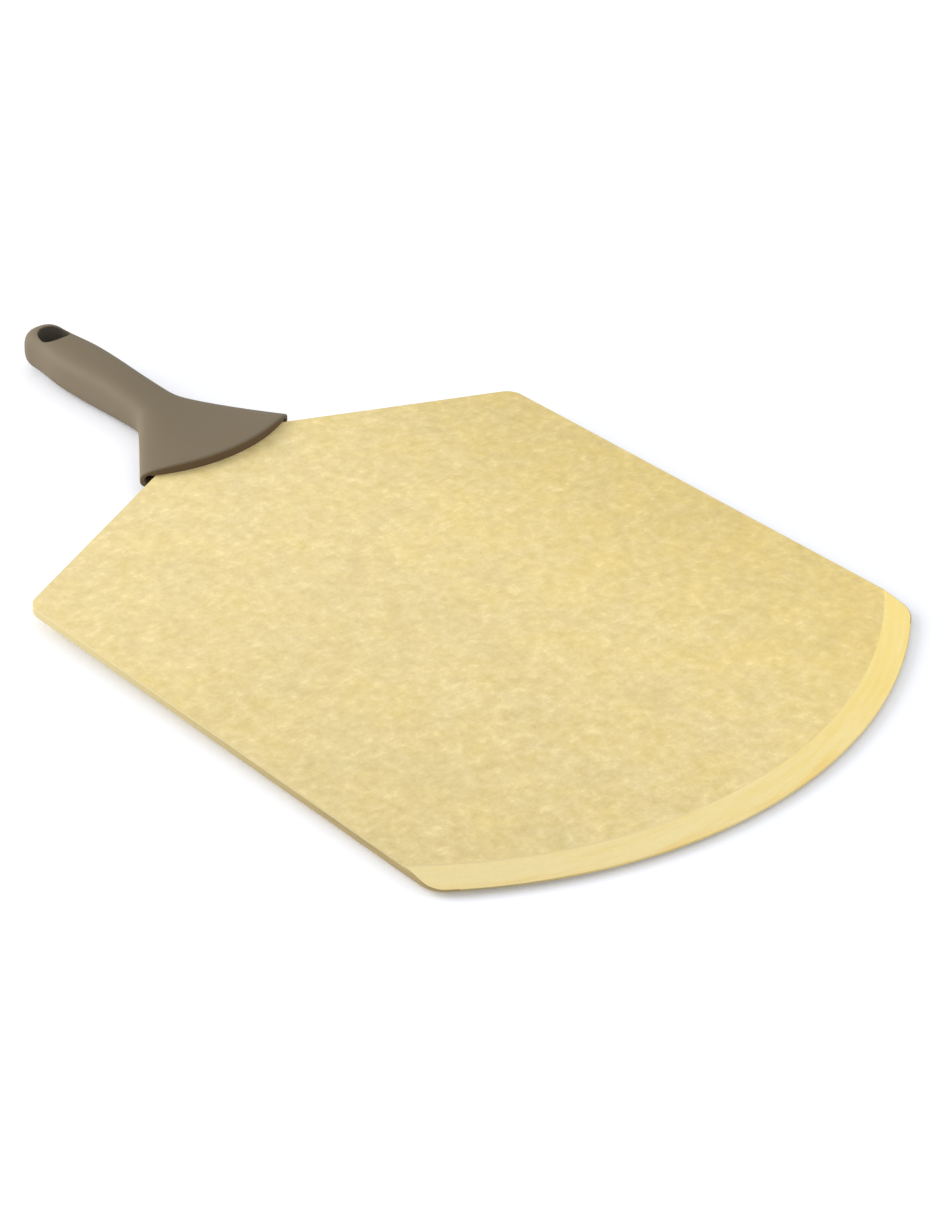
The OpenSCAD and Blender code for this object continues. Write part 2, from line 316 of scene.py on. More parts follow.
class Coat(Paint):
    """Node tree of one material, with the object coordinates at hand."""

    def __init__(self, name: str) -> None:
        """Makes an empty material.

        Args:
            name: The material's name.
        """
        self.material = bpy.data.materials.new(name)
        self.material.use_nodes = True
        super().__init__(self.material.node_tree)
        self.place = self.add("ShaderNodeTexCoord", {}, {}, "Object")

    def cloud(self, cloud: Cloud) -> Signal:
        """Returns a layer of noise that fills the piece."""
        return self.noise(self.place, cloud)

    def streaks(self, turn: float, grain: Grain) -> Signal:
        """Returns noise drawn out along one direction, with the piece turned about Z first."""
        return self.noise(self.stretched(self.place, turn, grain.scale), grain.cloud)

    def along(self, slope: Sequence[float]) -> Signal:
        """Returns a value that grows by slope for each metre along X, Y and Z."""
        sockets = {0: self.place, 1: tuple(slope)}
        return self.add("ShaderNodeVectorMath", {"operation": "DOT_PRODUCT"}, sockets, "Value")

    def reach(self) -> Signal:
        """Returns the distance from the part's origin, which is the front arc's centre."""
        settings = {"operation": "LENGTH"}
        return self.add("ShaderNodeVectorMath", settings, {0: self.place}, "Value")

    def close(self, surface: Signal) -> bpy.types.Material:
        """Joins a shader to the material's output and returns the material."""
        self.output("ShaderNodeOutputMaterial", surface)
        return self.material

    def finish(
        self,
        colour: Any,
        roughness: Number,
        metal: Metal = Metal.NONE,
        normal: Optional[Signal] = None,
        specular: float = 0.5,
    ) -> bpy.types.Material:
        """Joins the values to one surface shader.

        Args:
            colour: The base colour, as a signal or three numbers.
            roughness: The roughness.
            metal: Whether it is a metal.
            normal: The bumped normal, if it has one.
            specular: The level of its gloss.

        Returns:
            The finished material.
        """
        sockets = {
            "Base Color": self.colour(colour),
            "Roughness": roughness,
            "Metallic": metal.value,
            "Specular IOR Level": specular,
        }
        if normal is not None:
            sockets["Normal"] = normal
        return self.close(self.add("ShaderNodeBsdfPrincipled", {}, sockets))


def linear(red: int, green: int, blue: int) -> Colour:
    """Returns a colour given in 0 to 255 display steps as linear values, by the sRGB curve."""
    shares = [step / 255 for step in (red, green, blue)]
    return tuple(s / 12.92 if s <= 0.04045 else ((s + 0.055) / 1.055) ** 2.4 for s in shares)


@dataclass(frozen=True)
class FibreFace:
    """Smooth face of the pressed fibre sheet: cream, mottled, with soft wisps and pale flecks.

    The share of olive bows up towards both sides and grows along its slope. The tone follows
    a slope and a twist over the board that are painted light, standing for the lamps' falloff,
    and it is darkened as painted shade along the side towards +X, from a given place across it.
    Slopes are given for each metre along X, Y and Z.
    """

    pale: Colour = linear(234, 216, 161)
    olive: Colour = linear(234, 208, 124)
    tan: Colour = linear(228, 203, 148)
    clouds: Cloud = Cloud(26.0)
    patches: Cloud = Cloud(60.0, detail=3.0, roughness=0.6, swirl=0.3)
    blotches: Cloud = Cloud(150.0, detail=5.0, roughness=0.72, swirl=0.15)
    hue: Cloud = Cloud(120.0)
    wisp_turns: tuple[float, ...] = (27.0, 74.0, 118.0, 163.0)
    wisps: Grain = Grain((130.0, 420.0, 130.0))
    olive_range: tuple[float, float] = (-0.1, 1.1)
    olive_mean: float = 0.39
    olive_bow: float = 6.4
    olive_slope: tuple[float, float, float] = (1.2, -0.3, 0.0)
    tan_mean: float = 0.4
    tan_most: float = 0.4
    fleck_range: tuple[float, float] = (0.05, 0.25)
    tone_mean: float = 0.957
    # Painted light: the tone's slope and twist over the board stand for the lamps' falloff.
    painted_light_slope: tuple[float, float, float] = (0.02, 0.05, 0.0)
    painted_light_twist: tuple[float, float, float] = (0.0, -2.1, 0.0)
    # Painted shade: the side towards +X is darkened where the light falls off.
    painted_shade_side_x: tuple[float, float] = (0.05, 0.17)
    painted_shade_side: float = 0.095
    relief: float = 0.00002
    roughness: float = 0.45
    specular: float = 0.35

    def material(self) -> bpy.types.Material:
        """Lays clouds, patches, blotches and wisps over one another.

        Returns:
            The material.
        """
        paint = Coat("fibre_face")
        clouds = paint.cloud(self.clouds)
        patches = paint.cloud(self.patches)
        blotches = paint.cloud(self.blotches)
        hue = paint.cloud(self.hue)
        first, *others = [paint.streaks(turn, self.wisps) for turn in self.wisp_turns]
        wisps = sum(others, first)
        across = paint.along((1.0, 0.0, 0.0))
        slow = across * across * self.olive_bow + paint.along(self.olive_slope)
        olive = self.olive_mean + hue * 0.2 - blotches * 1.4 - patches * 0.2 + clouds * 0.6 + slow
        colour = paint.blend(olive.step(*self.olive_range), self.pale, self.olive)
        tan = (self.tan_mean - blotches * 0.4 - hue * 1.4 + patches * 0.5).step(0.0, 1.0)
        colour = paint.blend(tan * self.tan_most, colour, self.tan)
        flecks = (blotches + wisps * 0.2).step(*self.fleck_range)
        mottle = blotches * 0.44 + wisps * 0.05 + patches * 0.12 + clouds * 0.08 + flecks * 0.06
        # Painted shade darkens the +X side, and painted light slopes and twists the tone over the
        # board.
        painted_shade = across.step(*self.painted_shade_side_x) * self.painted_shade_side
        painted_light_and_shade = paint.along(self.painted_light_slope) + across * paint.along(self.painted_light_twist) - painted_shade
        face = paint.shade(colour, self.tone_mean + mottle + painted_light_and_shade)
        normal = paint.bump(blotches + wisps * 0.5, self.relief)
        rough = self.roughness + blotches * 0.2
        return paint.finish(face, rough, normal=normal, specular=self.specular)


@dataclass(frozen=True)
class GroundBevel:
    """Ground front bevel: warmer and yellower, with streaks where the fibre layers are cut.

    It runs from the radius inner_r to the front arc's radius front_r. The orange lies just
    inside the front edge, and a faint line shows where the bevel starts. An inset is measured
    inwards from the front arc, and line_offset outwards from inner_r. The tone brightens
    towards +X as painted light, and the thin front edge below the bevel is darkened as painted
    shade, most towards the corners.
    """

    inner_r: float
    front_r: float
    light: Colour = linear(250, 230, 166)
    deep: Colour = linear(244, 218, 129)
    orange: Colour = linear(244, 206, 118)
    line: Colour = linear(212, 186, 142)
    wander: Cloud = Cloud(30.0)
    wander_reach: float = 0.004
    skew: float = 0.03
    streak_scale: tuple[float, float] = (900.0, 75.0)
    band_scale: tuple[float, float] = (260.0, 22.0)
    streaks: Cloud = Cloud(1.0, detail=3.0)
    bands: Cloud = Cloud(1.0)
    flecks: Cloud = Cloud(420.0)
    deep_mean: float = 0.42
    deep_slope: float = 2.6
    orange_inset: tuple[float, float] = (0.0045, 0.0005)
    orange_x: tuple[float, float] = (0.05, 0.13)
    line_offset: tuple[float, float] = (0.0002, 0.0017)
    line_x: tuple[float, float] = (-0.1, -0.02)
    line_share: float = 0.36
    # Painted shade: the thin front edge between these insets is darkened, most towards the corners.
    shaded_edge_inset: tuple[float, float] = (0.0004, 0.0001)
    corner_shade_x: tuple[float, float] = (0.09, 0.165)
    tone_mean: float = 1.01
    # Painted light: the bevel's tone brightens towards +X.
    painted_light_slope: float = 0.95
    relief: float = 0.00002
    roughness: float = 0.5

    def material(self) -> bpy.types.Material:
        """Draws the streaks and bands round the front arc.

        Returns:
            The material.
        """
        paint = Coat("ground_bevel")
        across = paint.along((1.0, 0.0, 0.0))
        ahead = paint.along((0.0, -1.0, 0.0))
        radius = paint.reach()
        arc_x = across.angle(ahead) * self.front_r
        arc_y = radius + paint.cloud(self.wander) * self.wander_reach + arc_x * self.skew
        streaks = paint.noise(self.on_arc(paint, arc_y, arc_x, self.streak_scale), self.streaks)
        bands = paint.noise(self.on_arc(paint, arc_y, arc_x, self.band_scale), self.bands)
        flecks = paint.cloud(self.flecks)
        deep = (bands * 1.2 + self.deep_mean + across * self.deep_slope).step(0.0, 1.0)
        colour = paint.blend(deep, self.light, self.deep)
        outer = (radius + bands * 0.01).step(*(self.front_r - inset for inset in self.orange_inset))
        middle = 1 - across.step(*self.orange_x)
        colour = paint.blend(outer * middle * (0.3 + bands), colour, self.orange)
        start = 1 - (radius - self.inner_r).step(*self.line_offset)
        left = 1 - across.step(*self.line_x)
        colour = paint.blend(start * left * self.line_share, colour, self.line)
        # Painted shade darkens the thin front edge, most towards the corners, and painted light
        # brightens the bevel towards +X.
        wall = radius.step(*(self.front_r - inset for inset in self.shaded_edge_inset))
        ends = abs(across).step(*self.corner_shade_x)
        grain = streaks * 0.09 + flecks * 0.08
        tone = self.tone_mean + grain + across * self.painted_light_slope - wall * (0.12 + ends * 0.33)
        normal = paint.bump(streaks, self.relief)
        return paint.finish(paint.shade(colour, tone), self.roughness, normal=normal)

    @staticmethod
    def on_arc(paint: Coat, radius: Signal, along: Signal, scale: Sequence[float]) -> Signal:
        """Makes a place in cells that follow the front arc.

        Args:
            paint: The material's nodes.
            radius: Distance from the arc's centre.
            along: Distance along the arc.
            scale: Cells in a metre, across the arc and along it.

        Returns:
            The place.
        """
        sockets = {0: radius * scale[0], 1: along * scale[1]}
        return paint.add("ShaderNodeCombineXYZ", {}, sockets)


@dataclass(frozen=True)
class SawnEdge:
    """Cut edge of the fibre sheet: thin tan layers, paler behind and along the upper arris.

    Between two places along the length the edge pales towards the handle as painted light,
    and between two heights its upper arris is paled as a painted highlight.
    """

    light: Colour = linear(166, 145, 96)
    deep: Colour = linear(140, 120, 78)
    # Blended in as painted light towards the handle and as a painted highlight on the upper arris.
    pale: Colour = linear(214, 197, 140)
    layers: Grain = Grain((40.0, 40.0, 1900.0), detail=3.0)
    flecks: Cloud = Cloud(500.0)
    # Painted light: the edge pales towards the handle between these two places along the length.
    painted_light_y: tuple[float, float] = (-0.24, 0.09)
    painted_light_most: float = 0.85
    # Painted highlight: the upper arris is paled between these two heights.
    painted_highlight_z: tuple[float, float] = (0.0034, 0.0047)
    painted_highlight_most: float = 0.7
    relief: float = 0.00005
    roughness: float = 0.55

    def material(self) -> bpy.types.Material:
        """Stacks the fibre layers up the edge.

        Returns:
            The material.
        """
        paint = Coat("sawn_edge")
        layers = paint.streaks(0.0, self.layers)
        flecks = paint.cloud(self.flecks)
        colour = paint.blend((layers * 2.4 + 0.5).step(0.0, 1.0), self.light, self.deep)
        # Painted light: the edge pales towards the handle.
        painted_light_share = paint.along((0.0, 1.0, 0.0)).step(*self.painted_light_y)
        colour = paint.blend(painted_light_share * self.painted_light_most, colour, self.pale)
        # Painted highlight: the upper arris is paled.
        painted_highlight = paint.along((0.0, 0.0, 1.0)).step(*self.painted_highlight_z)
        colour = paint.blend(painted_highlight * self.painted_highlight_most, colour, self.pale)
        tone = 1 + layers * 0.1 + flecks * 0.12
        normal = paint.bump(layers + flecks, self.relief)
        return paint.finish(paint.shade(colour, tone), self.roughness, normal=normal)


@dataclass(frozen=True)
class SoftSkin:
    """Soft-touch skin of the sleeve: taupe, with a fine matt grain."""

    name: str = "soft_skin"
    warm: Colour = linear(117, 103, 80)
    cool: Colour = linear(114, 102, 81)
    grain: Cloud = Cloud(1700.0)
    clouds: Cloud = Cloud(35.0)
    relief: float = 0.00003
    roughness: float = 0.68
    specular: float = 0.4

    def material(self) -> bpy.types.Material:
        """Mixes the two taupes under a fine grain.

        Returns:
            The material.
        """
        paint = Coat(self.name)
        grain = paint.cloud(self.grain)
        clouds = paint.cloud(self.clouds)
        colour = paint.blend(0.5 + clouds * 2.0, self.warm, self.cool)
        face = paint.shade(colour, 1 + grain * 0.1 + clouds * 0.08)
        rough = self.roughness + clouds * 0.1 + grain * 0.1
        normal = paint.bump(grain, self.relief)
        return paint.finish(face, rough, normal=normal, specular=self.specular)


@dataclass(frozen=True)
class CorePlastic:
    """Moulded core: dark grey-brown, matt, with a spark-eroded grain and faint flow marks."""

    base: Colour = linear(88, 83, 72)
    grain: Cloud = Cloud(2200.0)
    flow: Grain = Grain((120.0, 18.0, 60.0))
    relief: float = 0.00003
    roughness: float = 0.6

    def material(self) -> bpy.types.Material:
        """Lays the grain and the flow marks on the moulded colour.

        Returns:
            The material.
        """
        paint = Coat("core_plastic")
        grain = paint.cloud(self.grain)
        flow = paint.streaks(0.0, self.flow)
        colour = paint.shade(self.base, 1 + grain * 0.3 + flow * 0.25)
        normal = paint.bump(grain, self.relief)
        return paint.finish(colour, self.roughness + flow * 0.2, normal=normal)


@dataclass(frozen=True)
class ScrewSteel:
    """Zinc-plated screw: pale metal with turning marks round its axis."""

    base: Colour = linear(196, 196, 198)
    turned: Grain = Grain((300.0, 300.0, 4000.0))
    stain: Cloud = Cloud(500.0)
    relief: float = 0.00002
    roughness: float = 0.3

    def material(self) -> bpy.types.Material:
        """Lays the turning marks and the stain on the metal.

        Returns:
            The material.
        """
        paint = Coat("screw_steel")
        turned = paint.streaks(0.0, self.turned)
        colour = paint.shade(self.base, 1 + paint.cloud(self.stain) * 0.2)
        normal = paint.bump(turned, self.relief)
        return paint.finish(colour, self.roughness + turned * 0.3, Metal.FULL, normal)


@dataclass
class FaceSet:
    """Faces of one piece, gathered by their corners and joined where the corners meet."""

    faces: list[tuple[Row, int]] = field(default_factory=list)

    def face(self, corners: Iterable[Vector], finish: int = 0) -> None:
        """Adds one face with the finish of that number."""
        self.faces.append((list(corners), finish))

    def grid(self, rows: Sequence[Row], finish: int = 0) -> None:
        """Adds the quads between each row of points and the next.

        Args:
            rows: Rows with the same number of points.
            finish: The finish's number.
        """
        for first, second in zip(rows, rows[1:]):
            for i in range(len(first) - 1):
                self.face((first[i], first[i + 1], second[i + 1], second[i]), finish)

    def mirror(self, axis: int, plane: float = 0.0) -> None:
        """Adds a mirrored copy of every face.

        Args:
            axis: Number of the axis that the mirror plane is square to.
            plane: The plane's place on that axis.
        """
        for corners, finish in list(self.faces):
            copy = [corner.copy() for corner in reversed(corners)]
            for corner in copy:
                corner[axis] = 2 * plane - corner[axis]
            self.face(copy, finish)

    def build(
        self, name: str, finishes: Sequence[bpy.types.Material], crease: float = 30.0
    ) -> bpy.types.Object:
        """Makes the piece.

        Args:
            name: The piece's name.
            finishes: Its materials, in the order of the faces' numbers.
            crease: Angle in degrees above which an edge stays sharp.

        Returns:
            The piece, linked to the scene.
        """
        points: Row = []
        loops: list[range] = []
        for corners, _ in self.faces:
            loops.append(range(len(points), len(points) + len(corners)))
            points.extend(corners)
        mesh = bpy.data.meshes.new(name)
        mesh.from_pydata(points, [], loops)
        mesh.polygons.foreach_set("material_index", [finish for _, finish in self.faces])
        shell = bmesh.new()
        shell.from_mesh(mesh)
        bmesh.ops.remove_doubles(shell, verts=shell.verts, dist=WELD)
        bmesh.ops.recalc_face_normals(shell, faces=shell.faces)
        open_edges = sum(1 for edge in shell.edges if len(edge.link_faces) != 2)
        shell.to_mesh(mesh)
        shell.free()
        for finish in finishes:
            mesh.materials.append(finish)
        mesh.polygons.foreach_set("use_smooth", [True] * len(mesh.polygons))
        mesh.set_sharp_from_angle(angle=math.radians(crease))
        piece = bpy.data.objects.new(name, mesh)
        bpy.context.scene.collection.objects.link(piece)
        LOG.info("%s: %d faces, %d open edges", name, len(mesh.polygons), open_edges)
        return piece


@dataclass
class EdgePoint:
    """A point on an outline in plan, with the outline's outward normal there."""

    x: float
    y: float
    normal_x: float
    normal_y: float

    def moved(self, distance: float, z: float) -> Vector:
        """Returns the point moved along its normal, at height z."""
        return Vector((self.x + distance * self.normal_x, self.y + distance * self.normal_y, z))


def arc(
    centre: tuple[float, float],
    radius: float,
    start: float,
    end: float,
    count: int,
    hollow: bool = False,
) -> list[EdgePoint]:
    """Makes the points of an arc.

    Args:
        centre: The arc's centre.
        radius: Its radius.
        start: Angle of its first point, in degrees from +X.
        end: Angle of its last point.
        count: Number of steps.
        hollow: Whether the outline's outside is on the centre's side.

    Returns:
        Its points in order.
    """
    points = []
    side = -1 if hollow else 1
    for angle in spread(math.radians(start), math.radians(end), count):
        across, up = math.cos(angle), math.sin(angle)
        x, y = centre[0] + radius * across, centre[1] + radius * up
        points.append(EdgePoint(x, y, side * across, side * up))
    return points


@dataclass
class Board:
    """The fibre board: front arc with its ground bevel, sloped shoulders and hidden tongue.

    The seat is the shallow step in each face that the handle's mouth covers, bounded by an
    arc that follows the mouth. The last sawn_steps of the front arc belong to the sawn edge.
    The shoulder's angle is in degrees from the width, and a crease is sharp above its angle.
    """

    half_w: float = 0.1778
    thickness: float = 0.00476
    front_r: float = 0.2921
    front_corner_r: float = 0.014
    rear_corner_y: float = 0.065
    rear_corner_r: float = 0.011
    shoulder_angle: float = 23.7
    bevel_w: float = 0.0149
    edge_t: float = 0.0012
    tongue_half_w: float = 0.0095
    tongue_end_y: float = 0.222
    tongue_fillet_r: float = 0.012
    arris_r: float = 0.0005
    arris_steps: int = 4
    screw_places: tuple[float, ...] = (0.158, 0.183, 0.208)
    screw_hole_r: float = 0.00215
    hole_steps: int = 16
    seat_depth: float = 0.00025
    seat_gap: float = 0.0001
    seat_slope: float = 0.00005
    seat_steps: int = 24
    arc_steps: int = 90
    sawn_steps: int = 3
    front_corner_steps: int = 16
    rear_corner_steps: int = 14
    side_steps: int = 4
    mouth_r: float = 0.108
    mouth_front_y: float = 0.11176
    crease: float = 50.0

    @property
    def inner_r(self) -> float:
        """Radius at which the bevel starts."""
        return self.front_r - self.bevel_w

    @property
    def seat_r(self) -> float:
        """Radius of the arc that bounds the seat."""
        return self.mouth_r + self.seat_gap

    def top_z(self, x: float, y: float) -> float:
        """Returns the height of the top, flat or on the bevel."""
        slope = (self.thickness - self.edge_t) / self.bevel_w
        return self.thickness - slope * max(0.0, math.hypot(x, y) - self.inner_r)

    def shoulder_y(self, x: float) -> float:
        """Returns the shoulder line's place along the length at x."""
        return self.rear_corner_y + (self.half_w - x) * math.tan(math.radians(self.shoulder_angle))

    def front_outline(self) -> list[EdgePoint]:
        """Makes the right half of the outline's front.

        Returns:
            Its points, from the front's middle to the bevel's tip.
        """
        centre_x = self.half_w - self.front_corner_r
        centre_y = -math.sqrt((self.front_r - self.front_corner_r) ** 2 - centre_x**2)
        corner = math.degrees(math.atan2(centre_y, centre_x))
        tip_y = -math.sqrt(self.inner_r**2 - (self.half_w - self.arris_r) ** 2)
        side = spread(centre_y, tip_y, self.side_steps)
        turned = arc(
            (centre_x, centre_y), self.front_corner_r, corner, 0.0, self.front_corner_steps
        )
        return [
            *arc((0.0, 0.0), self.front_r, -90.0, corner, self.arc_steps),
            *turned[1:],
            *(EdgePoint(self.half_w, y, 1.0, 0.0) for y in side[1:]),
        ]

    def rear_corner(self) -> list[EdgePoint]:
        """Makes the right rear corner and the shoulder.

        Returns:
            Their points, up to the seat's edge.
        """
        lean = math.radians(self.shoulder_angle)
        corner_x = self.half_w - self.rear_corner_r
        corner_y = self.rear_corner_y - self.rear_corner_r * (1 - math.sin(lean)) / math.cos(lean)
        end = 90.0 - self.shoulder_angle
        corner = arc((corner_x, corner_y), self.rear_corner_r, 0.0, end, self.rear_corner_steps)
        return [*corner, self.seat_point(self.seat_r)]

    def tongue(self) -> list[EdgePoint]:
        """Makes the right half of the outline that the handle hides.

        Returns:
            Its points, from the seat's edge to the tongue's end.
        """
        lean = math.radians(self.shoulder_angle)
        fillet_x = self.tongue_half_w + self.tongue_fillet_r
        fillet_y = self.shoulder_y(fillet_x) + self.tongue_fillet_r / math.cos(lean)
        start = -90.0 - self.shoulder_angle
        end_r = self.tongue_half_w
        steps = self.rear_corner_steps
        return [
            self.seat_point(self.seat_r - self.seat_slope),
            *arc((fillet_x, fillet_y), self.tongue_fillet_r, start, -180.0, steps, hollow=True),
            *arc((0.0, self.tongue_end_y - end_r), end_r, 0.0, 90.0, steps),
        ]

    @property
    def seat_centre_y(self) -> float:
        """Centre of the arc that bounds the seat, along the length."""
        return self.mouth_front_y + self.mouth_r

    def seat_point(self, radius: float) -> EdgePoint:
        """Finds the shoulder's point whose eased arris meets a wall of the seat.

        Args:
            radius: The wall's radius.

        Returns:
            The point.
        """
        lean = math.radians(self.shoulder_angle)
        normal = Vector((math.sin(lean), math.cos(lean)))
        along = Vector((-math.cos(lean), math.sin(lean)))
        corner = Vector((self.half_w, self.rear_corner_y))
        inner = corner - self.arris_r * normal - Vector((0.0, self.seat_centre_y))
        middle = inner.dot(along)
        travel = -middle - math.sqrt(middle**2 - inner.length_squared + radius**2)
        place = corner + travel * along
        return EdgePoint(place.x, place.y, normal.x, normal.y)

    def seat_wall(self, radius: float, z: float) -> Row:
        """Makes one edge of the seat's wall.

        Args:
            radius: The edge's radius.
            z: Its height.

        Returns:
            Its points, from the shoulder to the middle line.
        """
        start = self.seat_point(radius).moved(-self.arris_r, 0.0)
        turn = math.atan2(start.x, self.seat_centre_y - start.y)
        return [
            Vector((radius * math.sin(t), self.seat_centre_y - radius * math.cos(t), z))
            for t in spread(turn, 0.0, self.seat_steps)
        ]

    def rim(self, point: EdgePoint, cut: float) -> Row:
        """Makes the edge's section at a point: eased top arris, side and eased bottom arris.

        Args:
            point: The point of the outline.
            cut: Depth taken off each face there.

        Returns:
            The section's points, from the top face to the bottom face.
        """
        inward = point.moved(-self.arris_r, 0.0)
        top = self.top_z(inward.x, inward.y) - cut
        radius = self.arris_r
        turns = spread(0.0, math.pi / 2, self.arris_steps)
        steps = [(radius * (1 - math.sin(t)), radius * (1 - math.cos(t))) for t in turns]
        upper = [point.moved(-back, top - drop) for back, drop in steps]
        lower = [point.moved(-back, cut + drop) for back, drop in reversed(steps)]
        return upper + lower

    def middle_line(self, z: float) -> Row:
        """Makes the line down the middle, round the halves of the screw holes.

        Args:
            z: The line's height.

        Returns:
            Its points, from behind the holes to the front of them.
        """
        points: Row = []
        for place in reversed(self.screw_places):
            for turn in spread(0.0, math.pi, self.hole_steps):
                x = self.screw_hole_r * math.sin(turn)
                y = place + self.screw_hole_r * math.cos(turn)
                points.append(Vector((x, y, z)))
        return points

    def build(
        self, face: bpy.types.Material, bevel: bpy.types.Material, edge: bpy.types.Material
    ) -> bpy.types.Object:
        """Builds and dresses the board.

        Args:
            face: Material of the flat faces.
            bevel: Material of the ground bevel and the thin front edge below it.
            edge: Material of the sawn edge.

        Returns:
            The board.
        """
        front = [self.rim(point, 0.0) for point in self.front_outline()]
        rear = [self.rim(point, 0.0) for point in self.rear_corner()]
        hidden = [self.rim(point, self.seat_depth) for point in self.tongue()]
        turns = [math.atan2(section[0].x, -section[0].y) for section in front]
        reach = self.inner_r
        inner = [Vector((reach * math.sin(t), -reach * math.cos(t), self.thickness)) for t in turns]
        faces = FaceSet()
        faces.grid([inner, [section[0] for section in front]], BoardFinish.BEVEL)
        ground = self.arc_steps - self.sawn_steps
        faces.grid(front[: ground + 1], BoardFinish.BEVEL)
        faces.grid(front[ground:] + rear + hidden, BoardFinish.EDGE)
        lines = []
        for end, face_z, cut in ((0, self.thickness, -self.seat_depth), (-1, 0.0, self.seat_depth)):
            outer = inner if end == 0 else [section[end] for section in front]
            edge_line = self.seat_wall(self.seat_r, face_z)
            floor_line = self.seat_wall(self.seat_r - self.seat_slope, face_z + cut)
            lines.append(self.middle_line(face_z + cut))
            flat = outer + [section[end] for section in rear] + edge_line[1:]
            seat = floor_line[::-1] + [section[end] for section in hidden[1:]] + lines[-1]
            faces.face(flat, BoardFinish.FACE)
            faces.face(seat, BoardFinish.FACE)
            faces.grid([edge_line, floor_line], BoardFinish.FACE)
        step = self.hole_steps + 1
        for start in range(0, len(lines[0]), step):
            faces.grid([line[start : start + step] for line in lines], BoardFinish.EDGE)
        faces.mirror(0)
        board = faces.build("fibre_board", (face, bevel, edge), self.crease)
        self.crease_bevel(board.data)
        board.modifiers.new("even_faces", "WEIGHTED_NORMAL").keep_sharp = True
        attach(board, "root")
        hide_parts("blade")
        return board

    def crease_bevel(self, mesh: bpy.types.Mesh) -> None:
        """Keeps the line where the bevel starts crisp.

        Args:
            mesh: The board's mesh.
        """
        for line in mesh.edges:
            ends = [mesh.vertices[i].co for i in line.vertices]
            if all(abs(math.hypot(end.x, end.y) - self.inner_r) < WELD for end in ends):
                line.use_edge_sharp = True


@dataclass
class HangingHole:
    """The hanging hole in plan: a rounded triangle with its wide side to the board."""

    corner_x: float = 0.0035
    corner_y: float = 0.2717
    corner_r: float = 0.006
    rear_y: float = 0.2739
    rear_r: float = 0.009
    side_steps: int = 40
    arc_steps: int = 120

    def outline(self, count: int) -> list[EdgePoint]:
        """Makes the right half of the hole's outline.

        Args:
            count: Number of steps.

        Returns:
            Its count + 1 evenly spaced points, from front to rear.
        """
        across, along = -self.corner_x, self.rear_y - self.corner_y
        lean = math.acos((self.corner_r - self.rear_r) / math.hypot(across, along))
        turn = math.atan2(along, across) - lean
        side = math.degrees(turn)
        front_y = self.corner_y - self.corner_r
        front = spread(0.0, self.corner_x, self.side_steps)
        path = [EdgePoint(x, front_y, 0.0, -1.0) for x in front]
        corner = (self.corner_x, self.corner_y)
        path += arc(corner, self.corner_r, -90.0, side, self.arc_steps)[1:]
        rear = arc((0.0, self.rear_y), self.rear_r, side, 90.0, self.arc_steps)
        last = path[-1]
        for share in spread(0.0, 1.0, self.side_steps)[1:-1]:
            x, y = mix(last.x, rear[0].x, share), mix(last.y, rear[0].y, share)
            path.append(EdgePoint(x, y, math.cos(turn), math.sin(turn)))
        return even_points(path + rear, count)


def even_points(path: Sequence[EdgePoint], count: int) -> list[EdgePoint]:
    """Sets points at even distances along a fine path.

    Args:
        path: The fine path.
        count: Number of steps between the new points.

    Returns:
        The count + 1 points.
    """
    lengths = [0.0]
    for first, second in zip(path, path[1:]):
        lengths.append(lengths[-1] + math.hypot(second.x - first.x, second.y - first.y))
    chosen, place = [path[0]], 0
    for target in spread(0.0, lengths[-1], count)[1:-1]:
        while lengths[place + 1] < target:
            place += 1
        share = (target - lengths[place]) / (lengths[place + 1] - lengths[place])
        first, second = path[place], path[place + 1]
        chosen.append(
            EdgePoint(
                mix(first.x, second.x, share),
                mix(first.y, second.y, share),
                mix(first.normal_x, second.normal_x, share),
                mix(first.normal_y, second.normal_y, share),
            )
        )
    return [*chosen, path[-1]]


